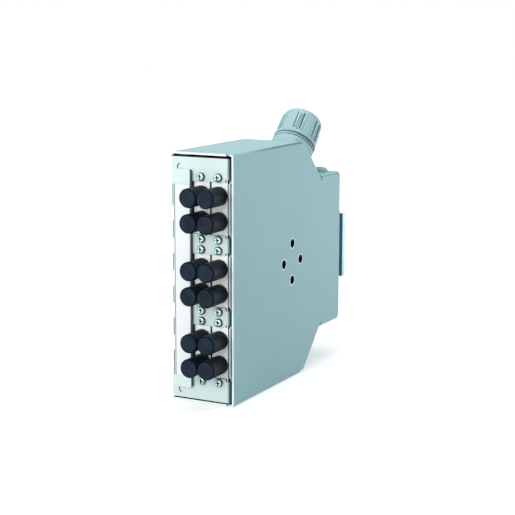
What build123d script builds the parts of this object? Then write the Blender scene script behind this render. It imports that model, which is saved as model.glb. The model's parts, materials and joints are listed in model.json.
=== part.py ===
"""A slim sheet-metal fibre splice box that clips on a 35 mm DIN rail.

Twelve bayonet fibre ports with rubber dust caps face the front, a cable gland
sits on the slanted rear wall, and a splice tray is mounted inside.
Lengths are in millimetres. +Z is up, -Y is the side with the ports, and the
origin is the centre of the bottom face, which the box stands on.
"""
import os
from math import cos, pi, sin, sqrt

from build123d import *

# Housing, seen from the side
WIDTH = 35.6
HEIGHT = 128.0
DEPTH = 127.4
WALL_TO_BACK = 50.4
SLANT_BEHIND_WALL = 2.5
SLANT_RISE = 21.9
SHEET = 1.0
BEND_RADIUS = 1.5
SHEET_GAP = 0.2

# Cover details
TAB_REACH = 14.5
TAB_AFTER_SLANT = 2.0
TAB_FROM_BACK = 1.2
RELIEF_WIDTH = 1.2
RELIEF_DEPTH = 1.6
FRONT_RELIEF_WIDTH = 2.1
FRONT_RELIEF_DEPTH = 1.4
SIDE_HOLE_CIRCLE = 20.0
SIDE_HOLE_RADIUS = 2.25
SIDE_HOLES_BEHIND_FRONT = 66.2
SIDE_HOLES_ABOVE_MIDDLE = 0.2

# Chassis flanges
CHASSIS_LIP = 12.0
FRONT_FLANGE_SHARE = 0.68
REST_FLANGE = 6.0
REST_FLANGE_START = 4.0

# Front panel
PANEL_TOP_GAP = 0.9
PANEL_BOTTOM_GAP = 0.7
PANEL_SIDE_GAP = 1.2
PANEL_RETURN = 10.0
WINDOW_CLEARANCE = 0.4
WINDOW_PAST_ADAPTER = 1.45
CORNER_RELIEF = 0.9
RIVET_RADIUS = 1.8
RIVET_SHANK_RADIUS = 1.2
RIVET_SHARE = 0.575
RIVET_FROM_END = 6.7
RIVETS_BELOW_MIDDLE = 0.7
RIVET_RECESS = 0.15

# Fibre adapters, two columns with as many rows as the panel has room for
COLUMN_PITCH = 9.85
COLUMNS_FROM_RIGHT = 13.3
ROW_GAP = 1.0
PORT_PITCH = 12.7
BODY_WIDTH = 8.9
BODY_PAST_PORT = 6.55
FLANGE_WIDTH = 9.3
FLANGE_PAST_SCREW = 2.2
FLANGE_THICK = 2.2
BODY_BEHIND = 14.0
BODY_CHAMFER = 0.6
SCREW_PAST_BODY = 2.7
SCREW_RADIUS = 1.0
SCREW_HEAD_RADIUS = 2.2
SCREW_HEAD_HEIGHT = 1.7
SCREW_HEAD_ROUND = 1.0
SCREW_CLEARANCE = 0.15
SCREW_PAST_NUT = 0.6
NUT_HEIGHT = 1.6
NUT_ACROSS_FLATS = 4.0
RECESS_LENGTH = 1.2
RECESS_SLOT = 0.26
RECESS_DEPTH = 0.4

# Bayonet barrels and the sleeves inside them
BARREL_RADIUS = 3.3
BARREL_BORE = 2.65
BARREL_FRONT = 9.0
BARREL_BACK = 9.0
BARREL_EDGE = 0.3
COLLAR_RADIUS = 3.9
COLLAR_INSET = 1.2
SLEEVE_RADIUS = 1.62
SLEEVE_BORE = 1.25
SLEEVE_LENGTH = 11.4
SLEEVE_SEAT = 0.05
SLEEVE_SLOT = 0.35
LUG_RADIUS = 0.8
LUG_REACH = 3.95
LUG_FROM_TIP = 3.2
KEYWAY_WIDTH = 1.6
KEYWAY_DEPTH = 2.2

# Rubber dust caps
CAP_RADIUS = 4.85
CAP_LENGTH = 14.7
CAP_GAP = 0.3
CAP_FIT = 0.09
CAP_LUG_ROOM = 0.2
CAP_TIP_ROUND = 0.9
CAP_GATE_RADIUS = 0.7
CAP_GATE_FLOOR = 0.4
CAP_GATE_DEPTH = 0.25

# Label holder and its card
HOLDER_THICK = 2.5
HOLDER_FROM_LEFT = 2.1
HOLDER_GAP = 0.125
HOLDER_FROM_END = 7.9
HOLDER_BELOW_MIDDLE = 0.3
HOLDER_TOP_END = 7.5
HOLDER_BOTTOM_END = 6.0
HOLDER_RIM = 0.3
HOLDER_CORNER = 1.5
HOLDER_EDGE = 0.3
NOTCH_LENGTH = 8.1
NOTCH_PITCH = 16.7
NOTCH_DEPTH = 0.85
NOTCH_COUNT = 5
END_NOTCH_START = 0.8
END_NOTCH_LENGTH = 3.0
CARD_THICK = 0.4
CARD_PROUD = 0.05
CARD_CLEARANCE = 0.1
PEG_RADIUS = 1.2
PEG_LENGTH = 0.9
PEG_SPACING = 80.0

# Cable gland, M20 size, square to the slanted wall
GLAND_OFF_MIDDLE = 1.4
GLAND_DOWN_SLANT = 2.1
GASKET_THICK = 0.8
HEX_ACROSS_FLATS = 23.8
HEX_HEIGHT = 6.2
HEX_ROUNDING = 0.6
RING_RADIUS = 12.0
RING_HEIGHT = 4.6
RING_GROOVE = 0.5
RING_GROOVE_HEIGHT = 0.7
RING_GROOVE_START = 2.4
RING_EDGE = 0.5
THREAD_RADIUS = 9.8
THREAD_CLEARANCE = 0.08
NECK_HEIGHT = 12.0
GLAND_BORE = 8.0
SEAL_CLEARANCE = 0.1
SEAL_HOLE = 4.5
SEAL_LENGTH = 11.0
SHELF_THICK = 1.5
THRUST_RING_HEIGHT = 1.6
THRUST_RING_HOLE = 6.0
NUT_GAP = 0.6
NUT_LENGTH = 17.6
NUT_RIM_RADIUS = 12.25
NUT_RIM_HEIGHT = 1.9
NUT_RADIUS = 11.8
NUT_TOP_RADIUS = 11.3
NUT_SHOULDER = 2.4
NUT_HOLE = 6.5
NUT_EDGE = 0.4
NUT_MOUTH = 1.4
RIB_PAIRS = 6
RIB_SPREAD = 18.5
RIB_TURN = -65.0
RIB_WIDTH = 0.8
RIB_PROUD = 0.55
RIB_START = 2.7
RIB_END = 3.6
PIT_RADIUS = 0.6
PIT_DEPTH = 0.7
PIT_HEIGHT = 2.4
STUB_LENGTH = 9.0
LOCKNUT_ACROSS_FLATS = 24.0
LOCKNUT_HEIGHT = 4.5

# DIN rail clip on the back wall
RAIL_HEIGHT = 35.0
RAIL_BELOW_MIDDLE = 1.0
RAIL_SLOT = 1.4
CLIP_SIDE_GAP = 1.0
CLIP_PAST_RAIL = 1.0
CLIP_THICK = 3.8
SPACER_DEPTH = 6.7
SPACER_INSET = 0.3
SPACER_CORNER = 1.5
HOOK_THICK = 1.5
HOOK_OVERLAP = 2.2
HOOK_CLEARANCE = 0.2
UPPER_HOOK_FROM_SIDE = 4.8
LATCH_TO_SCREW = 3.5
LATCH_THICK = 1.7
LATCH_ABOVE_MIDDLE = 4.0
LATCH_BELOW_RAIL = 5.5
LATCH_CLEARANCE = 0.15
LATCH_HOOK_FROM_SIDE = 3.0
LATCH_CORNER = 2.5
PRY_WIDTH = 7.0
PRY_HEIGHT = 1.4
PRY_FROM_END = 1.2
SPRING_RADIUS = 1.3
SPRING_WIRE = 0.2
SPRING_TURNS = 8
SPRING_LENGTH = 10.0
SPRING_BELOW_MIDDLE = 12.0
SPRING_ROOM = 0.3
STOP_HEIGHT = 1.5
STOP_GAP = 0.3
WINDOW_WIDTH = 5.0
CLIP_SCREW_RADIUS = 1.5
CLIP_SCREW_HEAD = 2.9
CLIP_SCREW_SINK = 0.2
CLIP_SCREW_FROM_SIDE = 4.3
CLIP_SCREWS_UP = 6.0
CLIP_NUT_ACROSS_FLATS = 5.5
CLIP_NUT_HEIGHT = 2.4

# Screws of the cover
COVER_SCREW_RADIUS = 2.0
COVER_SCREW_HEAD = 4.6
COVER_SCREW_HEAD_HEIGHT = 2.4
COVER_SCREW_ROUND = 2.1
COVER_SCREW_LENGTH = 6.0
COVER_SCREW_FROM_RIGHT = 8.9
COVER_SCREW_FROM_BACK = 8.4
COLLAR_WALL = 1.0
COLLAR_DEPTH = 1.6

# Splice tray
TRAY_DEPTH = 8.0
TRAY_WALL = 1.4
TRAY_END_FLAT = 10.0
TRAY_BEHIND_FRONT = 41.0
TRAY_TO_BACK = 10.4
TRAY_ABOVE_LEDGE = 7.1
TRAY_BELOW_LEDGE = 15.1
POST_RADIUS = 3.0
POST_LENGTH = 3.0
POST_RIVET_RADIUS = 1.3
TRAY_SCREW_RADIUS = 1.25
TRAY_SCREW_HEAD = 2.4
TRAY_SCREW_HEAD_HEIGHT = 1.5
TRAY_SCREW_DEPTH = 2.4
POST_FROM_END = 12.0
SPOOL_RADIUS = 13.0
SPOOL_WALL = 1.2
SPOOL_HEIGHT = 5.0
KEEPER_LENGTH = 7.0
KEEPER_REACH = 4.0
KEEPER_SPACING = 21.7
TRAY_GATE_HEIGHT = 13.0
TRAY_GATE_RIM = 2.1
LID_THICK = 1.2
SPLICE_SLOTS = 12
SPLICE_PITCH = 1.9
SPLICE_TO_POST = 14.0
SPLICE_HEIGHT = 4.0
SPLICE_SLOT_WIDTH = 1.2
SPLICE_BASE = 1.0

LEFT = -WIDTH / 2
RIGHT = WIDTH / 2
MIDDLE = HEIGHT / 2
INNER_LEFT = LEFT + SHEET
INNER_RIGHT = RIGHT - SHEET
WALL_LENGTH = DEPTH - WALL_TO_BACK
SLANT_START = WALL_LENGTH + SLANT_BEHIND_WALL
SLANT_END = SLANT_START + SLANT_RISE
LEDGE_LOW = SLANT_RISE
LEDGE_HIGH = HEIGHT - SLANT_RISE
TAB_START = SLANT_END + TAB_AFTER_SLANT
TAB_END = DEPTH - TAB_FROM_BACK
COVER_SCREW_X = RIGHT - COVER_SCREW_FROM_RIGHT
COVER_SCREW_Y = DEPTH - COVER_SCREW_FROM_BACK
PANEL_LOW = SHEET + PANEL_BOTTOM_GAP
PANEL_HIGH = HEIGHT - SHEET - PANEL_TOP_GAP
BODY_HEIGHT = PORT_PITCH + 2 * BODY_PAST_PORT
SCREW_SPACING = BODY_HEIGHT + 2 * SCREW_PAST_BODY
FLANGE_HEIGHT = SCREW_SPACING + 2 * FLANGE_PAST_SCREW
ROW_PITCH = FLANGE_HEIGHT + ROW_GAP
ROW_COUNT = int((PANEL_HIGH - PANEL_LOW) // ROW_PITCH)
ROWS = [MIDDLE + ((ROW_COUNT - 1) / 2 - row) * ROW_PITCH for row in range(ROW_COUNT)]
COLUMNS_MIDDLE = RIGHT - COLUMNS_FROM_RIGHT
COLUMNS = [COLUMNS_MIDDLE - COLUMN_PITCH / 2, COLUMNS_MIDDLE + COLUMN_PITCH / 2]
ADAPTERS_LEFT = COLUMNS[0] - FLANGE_WIDTH / 2
HOLDER_LEFT = LEFT + HOLDER_FROM_LEFT
HOLDER_RIGHT = COLUMNS[0] - CAP_RADIUS - HOLDER_GAP
HOLDER_LENGTH = HEIGHT - 2 * HOLDER_FROM_END
RIVET_SPACING = HEIGHT - 2 * RIVET_FROM_END
ADAPTERS = [(x, z) for z in ROWS for x in COLUMNS]
PORTS = [(x, z + side * PORT_PITCH / 2) for x, z in ADAPTERS for side in (1, -1)]
ADAPTER_SCREWS = [(x, z + side * SCREW_SPACING / 2) for x, z in ADAPTERS for side in (1, -1)]
RAIL_MIDDLE = MIDDLE - RAIL_BELOW_MIDDLE
CLIP_HEIGHT = RAIL_HEIGHT + 2 * CLIP_PAST_RAIL
CLIP_WIDTH = WIDTH - 2 * CLIP_SIDE_GAP
CLIP_SCREW_SPACING = CLIP_WIDTH - 2 * CLIP_SCREW_FROM_SIDE
UPPER_HOOK_WIDTH = CLIP_WIDTH - 2 * UPPER_HOOK_FROM_SIDE
LATCH_WIDTH = CLIP_SCREW_SPACING - 2 * LATCH_TO_SCREW
LATCH_HOOK_WIDTH = LATCH_WIDTH - 2 * LATCH_HOOK_FROM_SIDE
LATCH_TOP = RAIL_MIDDLE + LATCH_ABOVE_MIDDLE
LATCH_BOTTOM = RAIL_MIDDLE - RAIL_HEIGHT / 2 - LATCH_BELOW_RAIL
SPRING_BOTTOM = RAIL_MIDDLE - SPRING_BELOW_MIDDLE
TRAY_LENGTH = DEPTH - TRAY_BEHIND_FRONT - TRAY_TO_BACK
TRAY_BOTTOM = LEDGE_LOW + TRAY_ABOVE_LEDGE
TRAY_HEIGHT = LEDGE_HIGH - TRAY_BELOW_LEDGE - TRAY_BOTTOM
TRAY_CORNER = (TRAY_HEIGHT - TRAY_END_FLAT) / 2
POST_SPACING = TRAY_LENGTH - 2 * POST_FROM_END
SPLICE_LENGTH = POST_SPACING - 2 * SPLICE_TO_POST


def block(x_span, y_span, z_span):
    """A box given by its two limits along each axis."""
    size = [high - low for low, high in (x_span, y_span, z_span)]
    middle = [(high + low) / 2 for low, high in (x_span, y_span, z_span)]
    return Pos(*middle) * Box(*size)


def rod_y(x, z, radius, front, back):
    """A round rod along Y between two distances behind the front."""
    return Pos(x, (front + back) / 2, z) * Rot(90, 0, 0) * Cylinder(radius, back - front)


def turned_y(points, x, z):
    """A part turned about a line along Y, from (radius, y) points."""
    outline = make_face(Polyline(*[(radius, y) for radius, y in points], close=True))
    return Pos(x, 0, z) * revolve(outline, Axis.Y)


def hexagon(across_flats, height):
    """A hexagonal prism that stands on its own plane."""
    return extrude(RegularPolygon(across_flats / sqrt(3), 6), height)


def tube(outer, inner, low, high):
    """A tube along Z."""
    face = Circle(outer) - Circle(inner)
    return Pos(0, 0, low) * extrude(face, high - low)


def tube_blank(radius, low, high):
    """A solid round bar along Z."""
    return Pos(0, 0, low) * extrude(Circle(radius), high - low)


def bent_sheet(points, side):
    """Section of a bent sheet whose outer face follows the points."""
    outer = FilletPolyline(*points, radius=BEND_RADIUS)
    return make_face(offset(outer, SHEET, side=side))


def across_x(face, x_low, x_high):
    """A (y, z) face made as thick as an X span."""
    return Plane.YZ.offset(x_low) * extrude(face, x_high - x_low)


# Cover: side, top and bottom walls folded from one sheet

def cover_holes():
    """The four holes on a circle in the side plate."""
    centre_z = MIDDLE + SIDE_HOLES_ABOVE_MIDDLE
    reach = SIDE_HOLE_CIRCLE / 2
    places = [(reach * cos(turn * pi / 2), reach * sin(turn * pi / 2)) for turn in range(4)]
    drill = Rot(0, 90, 0) * Cylinder(SIDE_HOLE_RADIUS, 4 * SHEET)
    return [Pos(RIGHT, SIDE_HOLES_BEHIND_FRONT + y, centre_z + z) * drill for y, z in places]


def side_outline():
    """Side plate behind the bends, from the front to the back wall."""
    low = BEND_RADIUS
    high = HEIGHT - BEND_RADIUS
    ledge_low = LEDGE_LOW - SHEET + BEND_RADIUS
    ledge_high = LEDGE_HIGH + SHEET - BEND_RADIUS
    return [
        (0, low), (SLANT_START + low, low), (SLANT_END, LEDGE_LOW),
        (SLANT_END + RELIEF_WIDTH, LEDGE_LOW), (SLANT_END + RELIEF_WIDTH, ledge_low),
        (DEPTH, ledge_low), (DEPTH, ledge_high),
        (SLANT_END + RELIEF_WIDTH, ledge_high), (SLANT_END + RELIEF_WIDTH, LEDGE_HIGH),
        (SLANT_END, LEDGE_HIGH), (SLANT_START + low, high), (0, high),
    ]


def ledge_tab(upper):
    """A tab folded from the side plate onto a ledge of the chassis."""
    level = LEDGE_HIGH + SHEET if upper else LEDGE_LOW - SHEET
    inward = -1 if upper else 1
    path = [(RIGHT - TAB_REACH, level), (RIGHT, level), (RIGHT, level + inward * 2 * BEND_RADIUS)]
    section = bent_sheet(path, Side.RIGHT if upper else Side.LEFT)
    tab = Plane.XZ * extrude(section, -(TAB_END - TAB_START))
    return Pos(0, TAB_START, 0) * tab


def make_cover():
    path = [(LEFT, HEIGHT), (RIGHT, HEIGHT), (RIGHT, 0), (LEFT, 0)]
    shell = Plane.XZ * extrude(bent_sheet(path, Side.RIGHT), -WALL_LENGTH)
    plate = across_x(make_face(Polyline(*side_outline(), close=True)), INNER_RIGHT, RIGHT)
    cover = shell + plate + ledge_tab(True) + ledge_tab(False)
    for z in (LEDGE_HIGH, LEDGE_LOW):
        cut_y = (SLANT_END + RELIEF_WIDTH / 2, TAB_START)
        cover -= block((INNER_RIGHT - SHEET, RIGHT + SHEET), cut_y, (z - RELIEF_DEPTH, z + RELIEF_DEPTH))
    notch_x = (RIGHT - BEND_RADIUS - SHEET / 2 - FRONT_RELIEF_WIDTH, RIGHT - BEND_RADIUS - SHEET / 2)
    for z in (HEIGHT, 0):
        cover -= block(notch_x, (-SHEET, FRONT_RELIEF_DEPTH), (z - BEND_RADIUS, z + BEND_RADIUS))
    for drill in cover_holes():
        cover -= drill
    for z in (LEDGE_HIGH, LEDGE_LOW):
        cover -= Pos(COVER_SCREW_X, COVER_SCREW_Y, z) * Cylinder(
            COVER_SCREW_RADIUS + SCREW_CLEARANCE, 4 * SHEET)
    return cover


# Chassis: left plate, flanges and the folded rear strip

def chassis_outline():
    """Left plate: it stops under the top and bottom walls of the cover."""
    low = SHEET
    high = HEIGHT - SHEET
    front = SHEET + SHEET_GAP / 2
    return [
        (front, low), (SLANT_START + low, low), (SLANT_END, LEDGE_LOW), (DEPTH, LEDGE_LOW),
        (DEPTH, LEDGE_HIGH), (SLANT_END, LEDGE_HIGH), (SLANT_START + low, high), (front, high),
    ]


def rear_strip():
    """The strip that closes the back: lip, slanted wall, ledge, back wall and their mirror."""
    low = SHEET
    high = HEIGHT - SHEET
    lip = WALL_LENGTH - CHASSIS_LIP
    points = [
        (lip, high), (SLANT_START + low, high), (SLANT_END, LEDGE_HIGH), (DEPTH, LEDGE_HIGH),
        (DEPTH, LEDGE_LOW), (SLANT_END, LEDGE_LOW), (SLANT_START + low, low), (lip, low),
    ]
    return across_x(bent_sheet(points, Side.RIGHT), INNER_LEFT, INNER_RIGHT - (BEND_RADIUS - SHEET))


def gland_frame():
    """Plane on the outside of the slanted wall, with its X along the box's X."""
    middle_y = (SLANT_START + SLANT_END) / 2
    middle_z = (HEIGHT + LEDGE_HIGH) / 2
    down = GLAND_DOWN_SLANT / sqrt(2)
    origin = (GLAND_OFF_MIDDLE, middle_y + down, middle_z - down)
    return Plane(origin=origin, x_dir=(1, 0, 0), z_dir=(0, 1, 1))


def front_flange_right():
    """Right edge of the front flange, which takes a share of the space beside the adapters."""
    return INNER_LEFT + FRONT_FLANGE_SHARE * (ADAPTERS_LEFT - INNER_LEFT)


def make_chassis():
    plate = across_x(make_face(Polyline(*chassis_outline(), close=True)), LEFT, INNER_LEFT)
    front = SHEET + SHEET_GAP / 2
    flange = block((INNER_LEFT, front_flange_right()), (front, front + SHEET),
                   (SHEET + REST_FLANGE / 2, HEIGHT - SHEET - REST_FLANGE / 2))
    chassis = plate + flange + rear_strip()
    for z in (HEIGHT - 2 * SHEET, SHEET):
        chassis += block((INNER_LEFT, INNER_LEFT + REST_FLANGE),
                         (front + REST_FLANGE_START, WALL_LENGTH - CHASSIS_LIP), (z, z + SHEET))
    chassis -= gland_frame() * Cylinder(THREAD_RADIUS + SCREW_CLEARANCE, 6 * SHEET)
    for x, z in rivet_places():
        chassis -= rod_y(x, z, RIVET_SHANK_RADIUS, 0, 3 * SHEET)
    for ledge, down in ((LEDGE_HIGH, -1), (LEDGE_LOW, 1)):
        collar = Pos(COVER_SCREW_X, COVER_SCREW_Y, ledge + down * (SHEET + COLLAR_DEPTH) / 2)
        chassis += collar * Cylinder(COVER_SCREW_RADIUS + COLLAR_WALL, SHEET + COLLAR_DEPTH)
        chassis -= collar * Cylinder(COVER_SCREW_RADIUS, 4 * SHEET)
    for x, z in clip_screw_places():
        chassis -= rod_y(x, z, CLIP_SCREW_RADIUS + SCREW_CLEARANCE, DEPTH - 2 * SHEET, DEPTH + SHEET)
    for y, z in post_places():
        chassis -= across_x(Pos(y, z) * Circle(POST_RIVET_RADIUS), LEFT - SHEET, LEFT + 2 * SHEET)
    return chassis


# Front panel with its three adapter cut-outs

def panel_right():
    return INNER_RIGHT - PANEL_SIDE_GAP


def make_front_panel():
    left = LEFT + SHEET_GAP
    path = [(left, 0), (panel_right(), 0), (panel_right(), PANEL_RETURN)]
    panel = Pos(0, 0, PANEL_LOW) * extrude(bent_sheet(path, Side.LEFT), PANEL_HIGH - PANEL_LOW)
    cut_left = ADAPTERS_LEFT - WINDOW_PAST_ADAPTER
    cut_half = BODY_HEIGHT / 2 + WINDOW_CLEARANCE
    flange_front = SHEET
    for z in ROWS:
        panel -= block((cut_left, panel_right() - SHEET), (-SHEET, 2 * SHEET), (z - cut_half, z + cut_half))
        panel -= block((panel_right() - 2 * SHEET, panel_right() + SHEET), (-SHEET, flange_front),
                       (z - cut_half, z + cut_half))
        for side in (1, -1):
            corner = z + side * (cut_half + CORNER_RELIEF / 2)
            panel -= block((panel_right() - 2 * CORNER_RELIEF - SHEET / 2, panel_right() + SHEET),
                           (-SHEET, 2 * flange_front), (corner - CORNER_RELIEF, corner + CORNER_RELIEF))
    for x, z in ADAPTER_SCREWS:
        panel -= rod_y(x, z, SCREW_RADIUS + SCREW_CLEARANCE, -SHEET, 2 * SHEET)
    for x, z in rivet_places():
        panel -= rod_y(x, z, RIVET_RADIUS, -SHEET, 2 * SHEET)
    for x, z in peg_places():
        panel -= rod_y(x, z, PEG_RADIUS, -SHEET, 2 * SHEET)
    return panel


def rivet_places():
    middle = MIDDLE - RIVETS_BELOW_MIDDLE
    x = INNER_LEFT + RIVET_SHARE * (front_flange_right() - INNER_LEFT)
    return [(x, middle + side * RIVET_SPACING / 2) for side in (1, -1)]


def make_panel_rivets():
    """Flush rivets that hold the panel to the chassis flange."""
    back = 2 * SHEET + SHEET_GAP / 2
    rivets = []
    for x, z in rivet_places():
        rivet = rod_y(x, z, RIVET_RADIUS, RIVET_RECESS, SHEET)
        rivet += rod_y(x, z, RIVET_SHANK_RADIUS, SHEET, back)
        rivet += rod_y(x, z, RIVET_RADIUS, back, back + SHEET / 2)
        rivets.append(rivet)
    return rivets


# Fibre adapters, their screws, barrels, sleeves and caps

def make_adapter(x, z):
    """Moulded duplex adapter, whose flange shows behind the panel's window."""
    half = BODY_WIDTH / 2
    tall = BODY_HEIGHT / 2
    collar = SHEET + COLLAR_INSET
    flange = block((x - FLANGE_WIDTH / 2, x + FLANGE_WIDTH / 2), (SHEET, SHEET + FLANGE_THICK),
                   (z - FLANGE_HEIGHT / 2, z + FLANGE_HEIGHT / 2))
    back = block((x - half, x + half), (SHEET + FLANGE_THICK, BODY_BEHIND), (z - tall, z + tall))
    back = chamfer(back.edges().filter_by(Axis.Y), BODY_CHAMFER)
    adapter = flange + back
    for side in (1, -1):
        port = z + side * PORT_PITCH / 2
        adapter -= turned_y([
            (0, -SHEET), (BARREL_RADIUS, -SHEET), (BARREL_RADIUS, collar), (COLLAR_RADIUS, collar),
            (COLLAR_RADIUS, BODY_BEHIND - SHEET), (BARREL_RADIUS, BODY_BEHIND - SHEET),
            (BARREL_RADIUS, BODY_BEHIND + SHEET), (0, BODY_BEHIND + SHEET)], x, port)
        adapter -= rod_y(x, z + side * SCREW_SPACING / 2, SCREW_RADIUS + SCREW_CLEARANCE, 0, 5 * SHEET)
    return adapter


def make_barrel(x, z):
    """Metal barrel with a bayonet lug on each side and a keyway at its tip."""
    tip = -BARREL_FRONT
    tail = BODY_BEHIND + BARREL_BACK
    collar = SHEET + COLLAR_INSET
    seat = SLEEVE_RADIUS + SLEEVE_SEAT
    middle = BODY_BEHIND / 2
    reach = SLEEVE_LENGTH / 2
    barrel = turned_y([
        (BARREL_BORE, tip), (BARREL_RADIUS - BARREL_EDGE, tip), (BARREL_RADIUS, tip + BARREL_EDGE),
        (BARREL_RADIUS, collar),
        (COLLAR_RADIUS, collar), (COLLAR_RADIUS, BODY_BEHIND - SHEET), (BARREL_RADIUS, BODY_BEHIND - SHEET),
        (BARREL_RADIUS, tail), (BARREL_BORE, tail), (BARREL_BORE, middle + reach), (seat, middle + reach),
        (seat, middle - reach), (BARREL_BORE, middle - reach)], x, z)
    lug_y = tip + LUG_FROM_TIP
    lug_root = (BARREL_RADIUS + BARREL_BORE) / 2
    lug = Rot(0, 90, 0) * Cylinder(LUG_RADIUS, LUG_REACH - lug_root)
    for side in (1, -1):
        barrel += Pos(x + side * (LUG_REACH + lug_root) / 2, lug_y, z) * lug
    return barrel - block((x - KEYWAY_WIDTH / 2, x + KEYWAY_WIDTH / 2), (tip - 1, tip + KEYWAY_DEPTH),
                          (z + BARREL_BORE / 2, z + 2 * BARREL_RADIUS))


def make_sleeve(x, z):
    """Split ceramic sleeve that lines up the two fibre tips."""
    low = BODY_BEHIND / 2 - SLEEVE_LENGTH / 2
    high = BODY_BEHIND / 2 + SLEEVE_LENGTH / 2
    ring = rod_y(x, z, SLEEVE_RADIUS, low, high) - rod_y(x, z, SLEEVE_BORE, low - 1, high + 1)
    slot = (x - SLEEVE_SLOT / 2, x + SLEEVE_SLOT / 2)
    return ring - block(slot, (low - 1, high + 1), (z, z + 2 * SLEEVE_RADIUS))


def make_dust_cap(x, z):
    """Rubber cap: a wide mouth over the lugs and a close bore at the barrel's tip."""
    mouth = SHEET - CAP_GAP
    tip = mouth - CAP_LENGTH
    wide = LUG_REACH + CAP_LUG_ROOM
    close = BARREL_RADIUS + CAP_FIT
    step = -BARREL_FRONT + LUG_FROM_TIP - LUG_RADIUS - CAP_GAP
    floor = -BARREL_FRONT - CAP_GAP
    arc_middle = (CAP_RADIUS - CAP_TIP_ROUND * (1 - sin(pi / 4)), tip + CAP_TIP_ROUND * (1 - cos(pi / 4)))
    outline = [
        Line((CAP_RADIUS, mouth), (CAP_RADIUS, tip + CAP_TIP_ROUND)),
        ThreePointArc((CAP_RADIUS, tip + CAP_TIP_ROUND), arc_middle, (CAP_RADIUS - CAP_TIP_ROUND, tip)),
        Polyline((CAP_RADIUS - CAP_TIP_ROUND, tip), (CAP_GATE_RADIUS, tip),
                 (CAP_GATE_FLOOR, tip + CAP_GATE_DEPTH), (0, tip + CAP_GATE_DEPTH), (0, floor),
                 (close, floor), (close, step), (wide, step), (wide, mouth), (CAP_RADIUS, mouth)),
    ]
    return Pos(x, 0, z) * revolve(make_face(Curve() + outline), Axis.Y)


def make_adapter_screw(x, z):
    """Small pan-head screw with a cross recess."""
    nut_back = SHEET + FLANGE_THICK + NUT_HEIGHT
    head = rod_y(x, z, SCREW_HEAD_RADIUS, -SCREW_HEAD_HEIGHT, 0)
    head = fillet(head.edges().sort_by(Axis.Y)[0], SCREW_HEAD_ROUND)
    head -= cross_recess(SCREW_HEAD_RADIUS, Pos(x, -SCREW_HEAD_HEIGHT, z) * Rot(90, 45, 0))
    return head + rod_y(x, z, SCREW_RADIUS, 0, nut_back + SCREW_PAST_NUT)


def make_adapter_nut(x, z):
    start = SHEET + FLANGE_THICK
    nut = hexagon(NUT_ACROSS_FLATS, NUT_HEIGHT) - Cylinder(SCREW_RADIUS, 4 * NUT_HEIGHT)
    return Pos(x, start, z) * Rot(-90, 0, 0) * nut


# Label holder and card

def holder_span():
    """Left and right, low and high limits of the holder."""
    middle = MIDDLE - HOLDER_BELOW_MIDDLE
    low = middle - HOLDER_LENGTH / 2
    return (HOLDER_LEFT, HOLDER_RIGHT), (low, low + HOLDER_LENGTH)


def peg_places():
    x = (HOLDER_LEFT + HOLDER_RIGHT) / 2
    return [(x, MIDDLE - PEG_SPACING / 2), (x, MIDDLE + PEG_SPACING / 2)]


def make_label_holder():
    """Moulded strip with a recess for the card and five notches along its left edge."""
    across, up = holder_span()
    holder = block(across, (-HOLDER_THICK, 0), up)
    holder = fillet(holder.edges().filter_by(Axis.Y), HOLDER_CORNER)
    holder = fillet(holder.faces().sort_by(Axis.Y)[0].edges(), HOLDER_EDGE)
    holder -= card_block(0)
    left = (across[0] - 1, across[0] + NOTCH_DEPTH)
    through = (-HOLDER_THICK - 1, 1)
    for index in range(NOTCH_COUNT):
        z = MIDDLE + (index - (NOTCH_COUNT - 1) / 2) * NOTCH_PITCH
        holder -= block(left, through, (z - NOTCH_LENGTH / 2, z + NOTCH_LENGTH / 2))
    end_notch = up[1] - HOLDER_TOP_END + END_NOTCH_START
    holder -= block(left, through, (end_notch, end_notch + END_NOTCH_LENGTH))
    for x, z in peg_places():
        holder += rod_y(x, z, PEG_RADIUS, 0, PEG_LENGTH)
    return holder


def card_block(clearance):
    """The card's recess, or the card itself where a clearance is given."""
    across, up = holder_span()
    left = across[0] + NOTCH_DEPTH + HOLDER_RIM + clearance
    right = across[1] - HOLDER_RIM - clearance
    proud = CARD_PROUD if clearance else HOLDER_THICK
    return block((left, right), (-HOLDER_THICK - proud, -HOLDER_THICK + CARD_THICK),
                 (up[0] + HOLDER_BOTTOM_END + clearance, up[1] - HOLDER_TOP_END - clearance))


# Cable gland, drawn along Z and then set on the slanted wall

def gland_levels():
    """Heights above the slanted wall, from the gasket to the nut's top."""
    hex_top = GASKET_THICK + HEX_HEIGHT
    ring_top = hex_top + RING_HEIGHT
    neck_top = ring_top + NECK_HEIGHT
    nut_low = ring_top + NUT_GAP
    return hex_top, ring_top, neck_top, nut_low


def make_gland_body():
    hex_top, ring_top, neck_top, nut_low = gland_levels()
    body = Pos(0, 0, GASKET_THICK) * hexagon(HEX_ACROSS_FLATS, HEX_HEIGHT)
    body &= tube_blank(HEX_ACROSS_FLATS / sqrt(3) - HEX_ROUNDING, GASKET_THICK, hex_top)
    groove_low = hex_top + RING_GROOVE_START
    groove_high = groove_low + RING_GROOVE_HEIGHT
    profile = Polyline(
        (GLAND_BORE, hex_top), (RING_RADIUS, hex_top), (RING_RADIUS, groove_low),
        (RING_RADIUS - RING_GROOVE, groove_low), (RING_RADIUS - RING_GROOVE, groove_high),
        (RING_RADIUS, groove_high), (RING_RADIUS, ring_top - RING_EDGE), (RING_RADIUS - RING_EDGE, ring_top),
        (THREAD_RADIUS, ring_top), (THREAD_RADIUS, neck_top), (GLAND_BORE, neck_top), close=True)
    body += revolve(Plane.XZ * make_face(profile), Axis.Z)
    body += tube_blank(THREAD_RADIUS, -STUB_LENGTH, GASKET_THICK)
    return body - tube_blank(GLAND_BORE, -2 * STUB_LENGTH, 2 * neck_top) + seal_shelf()


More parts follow.
